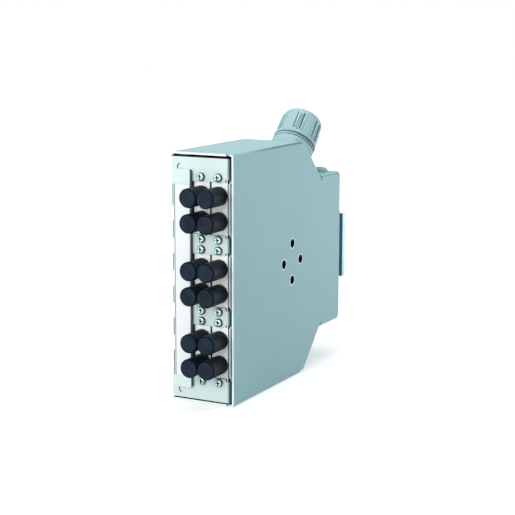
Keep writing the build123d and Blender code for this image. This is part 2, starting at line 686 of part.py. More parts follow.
def seal_shelf():
    """Inner shelf of the body that the rubber seal rests on."""
    hex_top, ring_top, neck_top, nut_low = gland_levels()
    shelf_top = neck_top - THRUST_RING_HEIGHT / 2 - SEAL_LENGTH
    return tube(GLAND_BORE, THRUST_RING_HOLE, shelf_top - SHELF_THICK, shelf_top)


def make_gland_seal():
    hex_top, ring_top, neck_top, nut_low = gland_levels()
    high = neck_top - THRUST_RING_HEIGHT / 2
    return tube(GLAND_BORE - SEAL_CLEARANCE, SEAL_HOLE, high - SEAL_LENGTH, high)


def make_thrust_ring():
    """Plastic ring between the nut and the rubber seal."""
    hex_top, ring_top, neck_top, nut_low = gland_levels()
    low = neck_top - THRUST_RING_HEIGHT / 2
    return tube(GLAND_BORE - SEAL_CLEARANCE, THRUST_RING_HOLE, low, low + THRUST_RING_HEIGHT)


def make_gland_nut():
    """Dome nut with pairs of ribs around it and a pit at the foot of each pair."""
    hex_top, ring_top, neck_top, nut_low = gland_levels()
    top = nut_low + NUT_LENGTH
    bore = THREAD_RADIUS + THREAD_CLEARANCE
    inner_top = neck_top + THRUST_RING_HEIGHT / 2
    rim_top = nut_low + NUT_RIM_HEIGHT
    shoulder_in = NUT_TOP_RADIUS - NUT_SHOULDER * (1 - sin(pi / 4))
    shoulder_up = top - NUT_SHOULDER * (1 - cos(pi / 4))
    outline = [
        Polyline((NUT_TOP_RADIUS - NUT_SHOULDER, top), (NUT_HOLE + NUT_MOUTH, top),
                 (NUT_HOLE, top - NUT_MOUTH), (NUT_HOLE, inner_top), (bore, inner_top), (bore, nut_low),
                 (NUT_RIM_RADIUS - NUT_EDGE, nut_low), (NUT_RIM_RADIUS, nut_low + NUT_EDGE),
                 (NUT_RIM_RADIUS, rim_top - NUT_EDGE), (NUT_RADIUS, rim_top),
                 (NUT_TOP_RADIUS, top - NUT_SHOULDER)),
        ThreePointArc((NUT_TOP_RADIUS, top - NUT_SHOULDER), (shoulder_in, shoulder_up),
                      (NUT_TOP_RADIUS - NUT_SHOULDER, top)),
    ]
    nut = revolve(Plane.XZ * make_face(Curve() + outline), Axis.Z)
    for turn in range(RIB_PAIRS):
        middle = RIB_TURN + turn * 360 / RIB_PAIRS
        for side in (1, -1):
            nut += Rot(0, 0, middle + side * RIB_SPREAD / 2) * nut_rib(nut_low, top)
        pit = Pos(NUT_RADIUS, 0, nut_low + PIT_HEIGHT) * Rot(0, 90, 0) * Cylinder(PIT_RADIUS, 2 * PIT_DEPTH)
        nut -= Rot(0, 0, middle) * pit
    return nut


def nut_rib(nut_low, top):
    """One rib that leans inward with the nut's side."""
    low = nut_low + RIB_START
    high = top - RIB_END
    lean = (NUT_RADIUS - NUT_TOP_RADIUS) / (NUT_LENGTH - NUT_SHOULDER - NUT_RIM_HEIGHT)
    drop = lean * (high - low)
    outer = NUT_RADIUS + RIB_PROUD
    profile = Polyline((NUT_TOP_RADIUS - 1, low), (outer, low), (outer - drop, high - RIB_PROUD),
                       (outer - drop - RIB_PROUD, high), (NUT_TOP_RADIUS - 1, high), close=True)
    return Pos(0, RIB_WIDTH / 2, 0) * (Plane.XZ * extrude(make_face(profile), RIB_WIDTH))


def make_gland_gasket():
    return tube(RING_RADIUS, THREAD_RADIUS + SCREW_CLEARANCE, 0, GASKET_THICK)


def make_gland_locknut():
    """Nut inside the slanted wall, with two of its flats towards the side plates."""
    nut = Pos(0, 0, -SHEET - LOCKNUT_HEIGHT) * Rot(0, 0, 30) * hexagon(LOCKNUT_ACROSS_FLATS, LOCKNUT_HEIGHT)
    return nut - Cylinder(THREAD_RADIUS, 8 * LOCKNUT_HEIGHT)


# DIN rail clip, sprung latch and their fixings

def clip_faces():
    """Distances behind the front of the spacer, the plate and the rail seat."""
    plate = DEPTH + SPACER_DEPTH
    return DEPTH, plate, plate + CLIP_THICK


def rail_edges():
    return RAIL_MIDDLE - RAIL_HEIGHT / 2, RAIL_MIDDLE + RAIL_HEIGHT / 2


def clip_screw_places():
    z = RAIL_MIDDLE + CLIP_SCREWS_UP
    return [(-CLIP_SCREW_SPACING / 2, z), (CLIP_SCREW_SPACING / 2, z)]


def latch_depth():
    """Front and back of the latch, which slides between the spacer and the plate."""
    start, plate, seat = clip_faces()
    return plate + LATCH_CLEARANCE, plate + LATCH_CLEARANCE + LATCH_THICK


def spring_pocket(y_low, y_high):
    """Room for the spring, cut into the parts on both sides of the latch."""
    half = SPRING_RADIUS + SPRING_ROOM
    return block((-half, half), (y_low, y_high), (SPRING_BOTTOM, SPRING_BOTTOM + SPRING_LENGTH + SPRING_ROOM))


def spring_middle():
    low, high = latch_depth()
    return (low + high) / 2


def make_clip_spacer():
    start, plate, seat = clip_faces()
    half = CLIP_WIDTH / 2 - SPACER_INSET
    tall = CLIP_HEIGHT / 2 - SPACER_INSET
    spacer = block((-half, half), (start, plate), (RAIL_MIDDLE - tall, RAIL_MIDDLE + tall))
    spacer = fillet(spacer.edges().filter_by(Axis.Y), SPACER_CORNER)
    for x, z in clip_screw_places():
        spacer -= rod_y(x, z, CLIP_SCREW_RADIUS + SCREW_CLEARANCE, start - 1, plate + 1)
    return spacer - spring_pocket(spring_middle() - SPRING_RADIUS - SPRING_ROOM, plate + 1)


def hook(width, z_arm, z_tip, y_root, upward):
    """Arm that reaches behind the rail and a lip that overlaps its edge."""
    start, plate, seat = clip_faces()
    lip = seat + RAIL_SLOT
    arm = z_arm + HOOK_THICK if upward else z_arm - HOOK_THICK
    shape = block((-width / 2, width / 2), (y_root, lip + HOOK_THICK), sorted((z_arm, arm)))
    return shape + block((-width / 2, width / 2), (lip, lip + HOOK_THICK), sorted((z_tip, arm)))


def make_clip_base():
    """Metal plate behind the spacer: channel for the latch and a fixed upper hook."""
    start, plate, seat = clip_faces()
    half = CLIP_WIDTH / 2
    low = RAIL_MIDDLE - CLIP_HEIGHT / 2
    high = RAIL_MIDDLE + CLIP_HEIGHT / 2
    rail_low, rail_high = rail_edges()
    base = block((-half, half), (plate, seat), (low, high))
    channel = LATCH_WIDTH / 2 + LATCH_CLEARANCE
    floor = latch_depth()[1] + LATCH_CLEARANCE
    base -= block((-channel, channel), (plate - 1, floor), (low - 1, LATCH_TOP + SPRING_ROOM))
    notch = LATCH_HOOK_WIDTH / 2 + SPRING_ROOM
    base -= block((-notch, notch), (plate - 1, seat + 1), (low - 1, rail_low + SPRING_ROOM))
    base -= spring_pocket(plate, spring_middle() + SPRING_RADIUS + SPRING_ROOM)
    stop = WINDOW_WIDTH / 2 - SPRING_ROOM
    base += block((-stop, stop), (latch_depth()[0], floor), (SPRING_BOTTOM - STOP_HEIGHT, SPRING_BOTTOM))
    base += hook(UPPER_HOOK_WIDTH, rail_high + HOOK_CLEARANCE, rail_high - HOOK_OVERLAP, seat - SHEET, True)
    for x, z in clip_screw_places():
        base -= rod_y(x, z, CLIP_SCREW_RADIUS + SCREW_CLEARANCE, plate - 1, seat + 1)
        base -= turned_y(countersink(seat), x, z)
    return base


def countersink(seat):
    """Outline of a countersunk head, sunk a little below the rail seat."""
    top = seat - CLIP_SCREW_SINK
    bottom = top - (CLIP_SCREW_HEAD - CLIP_SCREW_RADIUS - SCREW_CLEARANCE)
    return [(0, bottom), (CLIP_SCREW_RADIUS + SCREW_CLEARANCE, bottom), (CLIP_SCREW_HEAD, top),
            (CLIP_SCREW_HEAD, seat + 1), (0, seat + 1)]


def make_latch():
    """Sliding strip with a spring window, a hook for the rail and a slot to pry it down."""
    start, plate, seat = clip_faces()
    front, back = latch_depth()
    half = LATCH_WIDTH / 2
    rail_low, rail_high = rail_edges()
    latch = block((-half, half), (front, back), (LATCH_BOTTOM, LATCH_TOP))
    latch = fillet(latch.edges().filter_by(Axis.Y).group_by(Axis.Z)[0], LATCH_CORNER)
    latch += hook(LATCH_HOOK_WIDTH, rail_low - HOOK_CLEARANCE, rail_low + HOOK_OVERLAP, front, False)
    window_low = SPRING_BOTTOM - STOP_HEIGHT - STOP_GAP
    latch -= block((-WINDOW_WIDTH / 2, WINDOW_WIDTH / 2), (front - 1, back + 1),
                   (window_low, SPRING_BOTTOM + SPRING_LENGTH))
    pry = (LATCH_BOTTOM + PRY_FROM_END, LATCH_BOTTOM + PRY_FROM_END + PRY_HEIGHT)
    return latch - block((-PRY_WIDTH / 2, PRY_WIDTH / 2), (front - 1, back + 1), pry)


def make_clip_spring():
    """Compression spring between the plate's stop and the top of the latch's window."""
    rise = SPRING_LENGTH - 2 * SPRING_WIRE
    path = Helix(rise / SPRING_TURNS, rise, SPRING_RADIUS - SPRING_WIRE)
    section = Plane(origin=path @ 0, z_dir=path % 0) * Circle(SPRING_WIRE)
    wire = sweep(section, path=path, is_frenet=True)
    return Pos(0, spring_middle(), SPRING_BOTTOM + SPRING_WIRE) * wire


def make_clip_screws():
    """Countersunk screws from the rail seat into nuts inside the box."""
    start, plate, seat = clip_faces()
    top = seat - CLIP_SCREW_SINK
    neck = top - (CLIP_SCREW_HEAD - CLIP_SCREW_RADIUS)
    end = DEPTH - SHEET - CLIP_NUT_HEIGHT - SCREW_PAST_NUT
    outline = [
        (0, top), (CLIP_SCREW_HEAD, top), (CLIP_SCREW_RADIUS, neck), (CLIP_SCREW_RADIUS, end), (0, end),
    ]
    screws = []
    for x, z in clip_screw_places():
        screw = turned_y(outline, x, z)
        screws.append(screw - cross_recess(CLIP_SCREW_HEAD, Pos(x, top, z) * Rot(90, 0, 0)))
    return screws


def cross_recess(head_radius, place):
    """Two crossed slots in a screw's head, drawn across Z."""
    slot = Box(RECESS_LENGTH * head_radius, RECESS_SLOT * head_radius, 2 * RECESS_DEPTH * head_radius)
    return place * (slot + Rot(0, 0, 90) * slot)


def make_clip_nuts():
    nut = hexagon(CLIP_NUT_ACROSS_FLATS, CLIP_NUT_HEIGHT)
    nut -= Cylinder(CLIP_SCREW_RADIUS, 4 * CLIP_NUT_HEIGHT)
    start = DEPTH - SHEET - CLIP_NUT_HEIGHT
    return [Pos(x, start, z) * Rot(-90, 0, 0) * nut for x, z in clip_screw_places()]


def make_cover_screws():
    """Low domed screws through the cover's tabs into the ledges."""
    height = COVER_SCREW_HEAD_HEIGHT
    head = Pos(0, 0, height / 2) * Cylinder(COVER_SCREW_HEAD, height)
    head = fillet(head.edges().sort_by(Axis.Z)[-1], COVER_SCREW_ROUND)
    screw = head - cross_recess(COVER_SCREW_HEAD, Pos(0, 0, height))
    screw += Pos(0, 0, -COVER_SCREW_LENGTH / 2) * Cylinder(COVER_SCREW_RADIUS, COVER_SCREW_LENGTH)
    return [Pos(COVER_SCREW_X, COVER_SCREW_Y, z) * Rot(turn, 0, 0) * screw
            for z, turn in ((LEDGE_HIGH + SHEET, 0), (LEDGE_LOW - SHEET, 180))]


# Splice tray inside, on two posts on the left plate

def tray_middle():
    return TRAY_BEHIND_FRONT + TRAY_LENGTH / 2, TRAY_BOTTOM + TRAY_HEIGHT / 2


def tray_face(shrink):
    """Rounded outline of the tray on a plane across X."""
    face = RectangleRounded(TRAY_LENGTH - 2 * shrink, TRAY_HEIGHT - 2 * shrink, TRAY_CORNER - shrink)
    middle_y, middle_z = tray_middle()
    return Pos(middle_y, middle_z) * face


def post_places():
    middle_y, middle_z = tray_middle()
    return [(middle_y - POST_SPACING / 2, middle_z), (middle_y + POST_SPACING / 2, middle_z)]


def tray_floor():
    return INNER_LEFT + POST_LENGTH


def make_tray():
    """Dish with two winding spools, keeper tongues and a gate for the fibres."""
    floor = tray_floor()
    rim = floor + TRAY_DEPTH
    tray = across_x(tray_face(0), floor, rim) - across_x(tray_face(TRAY_WALL), floor + TRAY_WALL, rim + 1)
    middle_y, middle_z = tray_middle()
    for y, z in post_places():
        spool = Circle(SPOOL_RADIUS / 2) - Circle(SPOOL_RADIUS / 2 - SPOOL_WALL)
        tray += across_x(Pos(y, z) * spool, floor + TRAY_WALL / 2, floor + TRAY_WALL + SPOOL_HEIGHT)
        hole = Circle(TRAY_SCREW_RADIUS + SCREW_CLEARANCE)
        tray -= across_x(Pos(y, z) * hole, floor - 1, floor + 2 * TRAY_WALL)
    keeper_x = (rim - TRAY_WALL, rim)
    for side in (1, -1):
        edge = TRAY_HEIGHT / 2 - TRAY_WALL / 2
        for shift in (-1, 1):
            y = middle_y + shift * KEEPER_SPACING / 2
            low, high = sorted((middle_z + side * edge, middle_z + side * (edge - KEEPER_REACH)))
            tray += block(keeper_x, (y - KEEPER_LENGTH / 2, y + KEEPER_LENGTH / 2), (low, high))
        low, high = sorted((middle_y + side * (TRAY_LENGTH / 2 - TRAY_WALL / 2),
                            middle_y + side * (TRAY_LENGTH / 2 - TRAY_WALL / 2 - KEEPER_REACH)))
        tray += block(keeper_x, (low, high), (middle_z - KEEPER_LENGTH / 2, middle_z + KEEPER_LENGTH / 2))
    front = TRAY_BEHIND_FRONT
    gate = (middle_z - TRAY_GATE_HEIGHT / 2, middle_z + TRAY_GATE_HEIGHT / 2)
    return tray - block((floor + TRAY_WALL, rim - TRAY_GATE_RIM), (front - 1, front + 2 * TRAY_WALL), gate)


def make_splice_holder():
    """Comb insert that holds twelve splice protectors side by side."""
    middle_y, middle_z = tray_middle()
    floor = tray_floor() + TRAY_WALL
    tall = SPLICE_SLOTS * SPLICE_PITCH + SPLICE_BASE
    half = SPLICE_LENGTH / 2
    holder = block((floor, floor + SPLICE_HEIGHT), (middle_y - half, middle_y + half),
                   (middle_z - tall / 2, middle_z + tall / 2))
    for index in range(SPLICE_SLOTS):
        z = middle_z + (index - (SPLICE_SLOTS - 1) / 2) * SPLICE_PITCH
        holder -= block((floor + SPLICE_BASE, floor + 2 * SPLICE_HEIGHT),
                        (middle_y - SPLICE_LENGTH, middle_y + SPLICE_LENGTH),
                        (z - SPLICE_SLOT_WIDTH / 2, z + SPLICE_SLOT_WIDTH / 2))
    return holder


def make_tray_lid():
    """Clear lid that rests on the tray's rim."""
    rim = tray_floor() + TRAY_DEPTH
    return across_x(tray_face(0), rim, rim + LID_THICK)


def make_tray_posts():
    """Posts riveted to the left plate, bored for the tray's screws."""
    bore_start = tray_floor() - TRAY_SCREW_DEPTH
    posts = []
    for y, z in post_places():
        post = across_x(Pos(y, z) * Circle(POST_RADIUS), INNER_LEFT, tray_floor())
        post += across_x(Pos(y, z) * Circle(POST_RIVET_RADIUS), LEFT, INNER_LEFT)
        posts.append(post - across_x(Pos(y, z) * Circle(TRAY_SCREW_RADIUS), bore_start, tray_floor() + 1))
    return posts


def make_tray_screws():
    floor = tray_floor() + TRAY_WALL
    bore_start = tray_floor() - TRAY_SCREW_DEPTH
    screws = []
    for y, z in post_places():
        head = across_x(Pos(y, z) * Circle(TRAY_SCREW_HEAD), floor, floor + TRAY_SCREW_HEAD_HEIGHT)
        head -= cross_recess(TRAY_SCREW_HEAD, Pos(floor + TRAY_SCREW_HEAD_HEIGHT, y, z) * Rot(0, 90, 0))
        screws.append(head + across_x(Pos(y, z) * Circle(TRAY_SCREW_RADIUS), bore_start, floor))
    return screws


def parts():
    """Every node's name with its shape, in the frame whose Y is 0 at the front."""
    gland = gland_frame()
    nodes = {
        "cover": make_cover(),
        "chassis": make_chassis(),
        "front_panel": make_front_panel(),
        "panel_rivets": make_panel_rivets(),
        "label_holder": make_label_holder(),
        "label_card": card_block(CARD_CLEARANCE),
        "adapter_screws": [make_adapter_screw(x, z) for x, z in ADAPTER_SCREWS],
        "adapter_nuts": [make_adapter_nut(x, z) for x, z in ADAPTER_SCREWS],
        "gland_body": gland * make_gland_body(),
        "gland_seal": gland * make_gland_seal(),
        "gland_thrust_ring": gland * make_thrust_ring(),
        "gland_nut": gland * make_gland_nut(),
        "gland_gasket": gland * make_gland_gasket(),
        "gland_locknut": gland * make_gland_locknut(),
        "din_clip_spacer": make_clip_spacer(),
        "din_clip_base": make_clip_base(),
        "din_clip_latch": make_latch(),
        "din_clip_spring": make_clip_spring(),
        "din_clip_screws": make_clip_screws(),
        "din_clip_nuts": make_clip_nuts(),
        "cover_screws": make_cover_screws(),
        "splice_tray": make_tray(),
        "splice_holder": make_splice_holder(),
        "tray_lid": make_tray_lid(),
        "tray_posts": make_tray_posts(),
        "tray_screws": make_tray_screws(),
    }
    for number, (x, z) in enumerate(ADAPTERS, start=1):
        ports = [(x, z + PORT_PITCH / 2), (x, z - PORT_PITCH / 2)]
        nodes[f"adapter_{number}"] = make_adapter(x, z)
        nodes[f"port_barrels_{number}"] = [make_barrel(*port) for port in ports]
        nodes[f"alignment_sleeves_{number}"] = [make_sleeve(*port) for port in ports]
    for number, (x, z) in enumerate(PORTS, start=1):
        nodes[f"dust_cap_{number}"] = make_dust_cap(x, z)
    return nodes


def main():
    os.makedirs("parts", exist_ok=True)
    to_origin = Pos(0, -WALL_LENGTH / 2, 0)
    for name, shape in parts().items():
        if isinstance(shape, list):
            shape = Compound(children=[to_origin * piece for piece in shape])
        else:
            shape = to_origin * shape
        export_step(shape, f"parts/{name}.step")


main()
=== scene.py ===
# %% [markdown]
# # A slim fibre splice box
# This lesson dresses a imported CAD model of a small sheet-metal box. Fibre cables
# enter through the gland at the back and leave through twelve ports at the front,
# each under a black rubber cap. The CAD bodies come in as a fixed frame, and every
# cell after that adds one finish or one finer shape.

# %% Load the frame
import json
import math

import bpy
from mathutils import Matrix, Vector


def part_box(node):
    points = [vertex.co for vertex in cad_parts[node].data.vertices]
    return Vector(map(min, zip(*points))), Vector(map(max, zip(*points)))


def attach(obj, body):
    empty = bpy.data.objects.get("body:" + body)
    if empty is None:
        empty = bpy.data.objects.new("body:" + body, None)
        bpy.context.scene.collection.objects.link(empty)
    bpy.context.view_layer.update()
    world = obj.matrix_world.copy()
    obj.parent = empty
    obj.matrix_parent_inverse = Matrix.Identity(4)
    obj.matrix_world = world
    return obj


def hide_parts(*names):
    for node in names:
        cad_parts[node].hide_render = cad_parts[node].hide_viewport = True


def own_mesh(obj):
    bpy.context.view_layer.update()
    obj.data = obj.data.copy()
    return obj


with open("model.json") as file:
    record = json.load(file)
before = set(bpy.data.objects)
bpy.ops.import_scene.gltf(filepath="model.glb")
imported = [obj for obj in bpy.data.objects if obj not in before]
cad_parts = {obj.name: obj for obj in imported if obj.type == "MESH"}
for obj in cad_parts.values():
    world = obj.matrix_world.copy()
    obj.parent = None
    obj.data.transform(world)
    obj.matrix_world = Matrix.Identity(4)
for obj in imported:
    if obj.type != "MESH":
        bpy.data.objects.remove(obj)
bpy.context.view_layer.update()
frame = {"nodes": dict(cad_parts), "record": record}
nodes = frame["nodes"]
record = frame["record"]
MM = 0.001


def deselect():
    bpy.ops.object.select_all(action="DESELECT")


def activate(piece):
    deselect()
    piece.select_set(True)
    bpy.context.view_layer.objects.active = piece


# %% [markdown]
# ## Places taken from the frame
# The later cells need a few planes of the real object: the outer face of the
# side plate, the top wall, the front edge of the cover, and the gland's axis and
# nut. They are measured on the CAD nodes. The heart is a point deep in the box,
# and later tells the faces that look inwards from those that look out.

# %% Places
SHEET = 1.0 * MM
BEND = 1.5 * MM
HEART_DEPTH = 20 * MM
cover_low, cover_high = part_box("cover")
panel_low, panel_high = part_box("front_panel")
SIDE, TOP, FRONT = cover_high.x, cover_high.z, cover_low.y
HEART = Vector(((cover_low.x + SIDE) / 2, HEART_DEPTH, TOP / 2))
DIAGONAL = math.sqrt(0.5)
turn = next(joint for joint in record["behaviour"]["joints"] if joint["name"] == "gland_nut_turn")
GLAND_FOOT, GLAND_AXIS = Vector(turn["pos_m"]), Vector(turn["axis"]).normalized()
ACROSS = Vector((1, 0, 0))
GLAND_TURN = Matrix((ACROSS, GLAND_AXIS.cross(ACROSS), GLAND_AXIS)).transposed()
GLAND_FRAME = Matrix.Translation(GLAND_FOOT) @ GLAND_TURN.to_4x4()


def along_gland(point):
    return (point - GLAND_FOOT).dot(GLAND_AXIS)


def off_gland(point):
    return (point - GLAND_FOOT - along_gland(point) * GLAND_AXIS).length


nut_heights = [along_gland(vertex.co) for vertex in nodes["gland_nut"].data.vertices]
NUT_LOW, NUT_TOP = min(nut_heights), max(nut_heights)
print("side", SIDE, "top", TOP, "front", FRONT, "nut", round(NUT_LOW, 4), round(NUT_TOP, 4))


# %% [markdown]
# ## Colours
# A colour picked on screen is in sRGB, while a shader works with linear light.
# This helper turns the familiar 0 to 255 values into linear ones, so the
# numbers in the cells below read like the swatches in a paint chart.

# %% Swatches
def swatch(red, green, blue):
    linear = []
    for value in (red, green, blue):
        share = value / 255
        linear.append(share / 12.92 if share <= 0.04045 else ((share + 0.055) / 1.055) ** 2.4)
    return (*linear, 1.0)


HOUSING = swatch(156, 195, 200)
# painted highlight for the cover's front edge and for the panel strip beside the card
EDGE_HIGHLIGHT = swatch(238, 245, 244)
# painted highlight round the side holes
HOLE_RIM_HIGHLIGHT = swatch(226, 248, 250)
# painted shade line on the outside of bends
BEND_SHADE = swatch(104, 136, 140)
UNLIT = swatch(14, 18, 22)
PANEL = swatch(206, 221, 219)
# painted shade on the panel's bent-back right edge
PANEL_SHADE = swatch(78, 118, 126)
CREAM = swatch(248, 252, 251)
HOLDER = swatch(212, 228, 224)
# painted shade on the holder's right flank
FLANK_SHADE = swatch(92, 104, 98)
# painted shade on the left rims of the holder and the card
LIP_SHADE = swatch(96, 108, 104)
CARD = swatch(230, 232, 234)
GLAND = swatch(158, 191, 196)
# painted shadow: rivet rims, the gland ring under the nut and the strip beside each nut rib
PAINTED_SHADOW = swatch(44, 76, 88)
# painted shade for the fine ridges of the nut's grip bands
RIDGE_SHADE = swatch(116, 150, 158)
# painted highlight on the crests of the nut's ribs
RIB_HIGHLIGHT = swatch(196, 224, 228)
RUBBER = swatch(18, 33, 46)
# painted shade on the caps towards the adapters and on their tip rims
RUBBER_SHADE = swatch(6, 14, 24)
# the clip spacer's dark navy is partly its own colour and partly painted shade of the gap behind the clip
# plate
BLACK = swatch(10, 66, 90)
ZINC = swatch(172, 208, 206)
ZINC_SHADE = swatch(20, 52, 60)
ALUMINIUM = swatch(156, 194, 204)
STEEL = swatch(152, 158, 162)
NICKEL = swatch(206, 203, 196)
CERAMIC = swatch(238, 234, 224)
TRAY = swatch(214, 218, 214)


# %% [markdown]
# ## A finish from layered noise
# Real paint and plastic are never one flat colour. Each finish here mixes two
# close tones with a broad noise. A fine noise varies the roughness and raises a
# slight bump. Both read Object coordinates, so the grain has a real size in
# metres and stays where it is when a piece moves.

# %% Finish helper
def finish(name, colour, tone=0.06, patch=60, rough=0.5, rough_spread=0.08, grain=2500, bump=0.05,
           metal=0.0, stretch=(1, 1, 1), specular=0.5, alpha=1.0):
    material = bpy.data.materials.new(name)
    material.use_nodes = True
    tree = material.node_tree
    shader = tree.nodes["Principled BSDF"]
    shader.inputs["Metallic"].default_value = metal
    shader.inputs["Specular IOR Level"].default_value = specular
    shader.inputs["Alpha"].default_value = alpha
    place = tree.nodes.new("ShaderNodeTexCoord")
    mapping = tree.nodes.new("ShaderNodeMapping")
    mapping.inputs["Scale"].default_value = stretch
    tree.links.new(place.outputs["Object"], mapping.inputs["Vector"])
    broad = tree.nodes.new("ShaderNodeTexNoise")
    broad.inputs["Scale"].default_value = patch
    broad.inputs["Detail"].default_value = 3
    fine = tree.nodes.new("ShaderNodeTexNoise")
    fine.inputs["Scale"].default_value = grain
    fine.inputs["Detail"].default_value = 2
    for noise in (broad, fine):
        tree.links.new(mapping.outputs["Vector"], noise.inputs["Vector"])
    tones = tree.nodes.new("ShaderNodeValToRGB")
    for element, factor in zip(tones.color_ramp.elements, (1 - tone, 1 + tone)):
        element.color = (*[min(1.0, part * factor) for part in colour[:3]], 1.0)
    tones.color_ramp.elements[0].position = 0.35
    tones.color_ramp.elements[1].position = 0.65
    tree.links.new(broad.outputs["Fac"], tones.inputs["Fac"])
    tree.links.new(tones.outputs["Color"], shader.inputs["Base Color"])
    dull = tree.nodes.new("ShaderNodeMapRange")
    dull.inputs["To Min"].default_value = rough - rough_spread
    dull.inputs["To Max"].default_value = rough + rough_spread
    tree.links.new(fine.outputs["Fac"], dull.inputs["Value"])
    tree.links.new(dull.outputs["Result"], shader.inputs["Roughness"])
    relief = tree.nodes.new("ShaderNodeBump")
    relief.inputs["Strength"].default_value = bump
    relief.inputs["Distance"].default_value = 0.1 * MM
    tree.links.new(fine.outputs["Fac"], relief.inputs["Height"])
    tree.links.new(relief.outputs["Normal"], shader.inputs["Normal"])
    return material


# %% [markdown]
# ## Lines that follow the folding
# A folded and painted sheet doesn't catch the light evenly. A cut edge gets a thin
# painted highlight, and the outside of a tight bend a narrow painted shade line.
# Both are placed by distance along a direction, or from a centre, with a short ramp
# at the rim. Measuring inside the material keeps the lines sharp at any distance
# and needs neither a picture nor finer geometry.

# %% Measures inside a material
def ramp(tree, value, start, end):
    node = tree.nodes.new("ShaderNodeMapRange")
    node.inputs["From Min"].default_value = start
    node.inputs["From Max"].default_value = end
    tree.links.new(value, node.inputs["Value"])
    return node.outputs["Result"]


def away_from(tree, value, middle):
    gap = tree.nodes.new("ShaderNodeMath")
    gap.operation = "SUBTRACT"
    gap.inputs[1].default_value = middle
    tree.links.new(value, gap.inputs[0])
    size = tree.nodes.new("ShaderNodeMath")
    size.operation = "ABSOLUTE"
    tree.links.new(gap.outputs["Value"], size.inputs[0])
    return size.outputs["Value"]


def spot_math(tree, operation, other, source=None):
    node = tree.nodes.new("ShaderNodeVectorMath")
    node.operation = operation
    node.inputs[1].default_value = other
    tree.links.new(source or tree.nodes["Texture Coordinate"].outputs["Object"], node.inputs[0])
    return node


def along(tree, direction):
    return spot_math(tree, "DOT_PRODUCT", direction).outputs["Value"]


def slope(tree, direction, start, end):
    return ramp(tree, along(tree, direction), start, end)


def line(tree, direction, middle, half):
    return ramp(tree, away_from(tree, along(tree, direction), middle), half, half / 2)


def beyond(tree, direction, middle, half):
    return ramp(tree, away_from(tree, along(tree, direction), middle), half, half + 0.2 * MM)


def ring(tree, centre, mask, radius, half):
    flat = spot_math(tree, "MULTIPLY", mask)
    flat_centre = [part * keep for part, keep in zip(centre, mask)]
    reach = spot_math(tree, "DISTANCE", flat_centre, flat.outputs["Vector"])
    return ramp(tree, away_from(tree, reach.outputs["Value"], radius), half, half / 2)


# %% [markdown]
# ## Painting over a finish
# A line is a second colour mixed over the finish that is already there. Each
# factor says where the line may lie, and several of them multiplied together
# keep it to one stretch of the sheet.

# %% Paint helper
def paint(material, colour, *factors):
    tree = material.node_tree
    shader = tree.nodes["Principled BSDF"]
    under = shader.inputs["Base Color"].links[0].from_socket
    factor = factors[0]
    for more in factors[1:]:
        both = tree.nodes.new("ShaderNodeMath")
        both.operation = "MULTIPLY"
        tree.links.new(factor, both.inputs[0])
        tree.links.new(more, both.inputs[1])
        factor = both.outputs["Value"]
    mix = tree.nodes.new("ShaderNodeMix")
    mix.data_type = "RGBA"
    into = {socket.identifier: socket for socket in mix.inputs}
    into["B_Color"].default_value = colour
    tree.links.new(factor, into["Factor_Float"])
    tree.links.new(under, into["A_Color"])
    result = {socket.identifier: socket for socket in mix.outputs}["Result_Color"]
    tree.links.new(result, shader.inputs["Base Color"])


# %% [markdown]
# ## One finish for each kind of part
# The housing has a fine powder coat, the panel a smoother pale coat. Moulded
# parts get a soft sheen and a very fine grain. Of the metals, the extruded clip
# plate has its noise stretched into long narrow streaks, as the die leaves them.

# %% Finishes
COAT = {"tone": 0.02, "patch": 30, "rough": 0.5, "grain": 3200, "bump": 0.08, "specular": 0.3}
MOULDED = {"tone": 0.02, "patch": 90, "rough": 0.46, "grain": 3000, "bump": 0.04}
cover_coat = finish("cover_coat", HOUSING, **COAT)
coat = finish("powder_coat", HOUSING, **COAT)
unlit = finish("unlit_coat", UNLIT, tone=0.1, patch=60, rough=0.8, grain=2400, bump=0.05, specular=0.03)
panel_coat = finish("panel_coat", PANEL, tone=0.015, patch=50, rough=0.45, grain=2600, bump=0.04,
                    specular=0.3)
cream_plastic = finish("cream_plastic", CREAM, **MOULDED)
holder_plastic = finish("holder_plastic", HOLDER, specular=0.3, **MOULDED)
# shaded copy of the holder plastic for its right flank
holder_flank = finish("holder_flank", FLANK_SHADE, specular=0.15, **MOULDED)
card_stock = finish("card_stock", CARD, tone=0.01, patch=300, rough=0.7, grain=5000, bump=0.06)
gland_plastic = finish("gland_plastic", GLAND, specular=0.35, **MOULDED)
# copy of the gland finish for the body, which carries the painted shade under the nut
gland_ring = finish("gland_ring", GLAND, specular=0.35, **MOULDED)
# painted highlight finish for the rib crest strips
rib_highlight = finish("rib_highlight", RIB_HIGHLIGHT, specular=0.35, **MOULDED)
# painted shade finish for the grip ridges
ridge_shade_plastic = finish("ridge_shade_plastic", RIDGE_SHADE, specular=0.2, **MOULDED)
cap_rim = finish("cap_rim", RUBBER_SHADE, tone=0.3, patch=220, rough=0.6, grain=1500, bump=0.2, specular=0.05)
# painted shadow finish for the strips beside the nut's ribs
gland_painted_shadow = finish("gland_painted_shadow", PAINTED_SHADOW, specular=0.1, **MOULDED)
cap_rubber = finish("cap_rubber", RUBBER, tone=0.3, patch=220, rough=0.5, grain=1500, bump=0.2, specular=0.1)
seal_rubber = finish("seal_rubber", swatch(30, 32, 34), tone=0.1, patch=150, rough=0.7, grain=2200, bump=0.2)
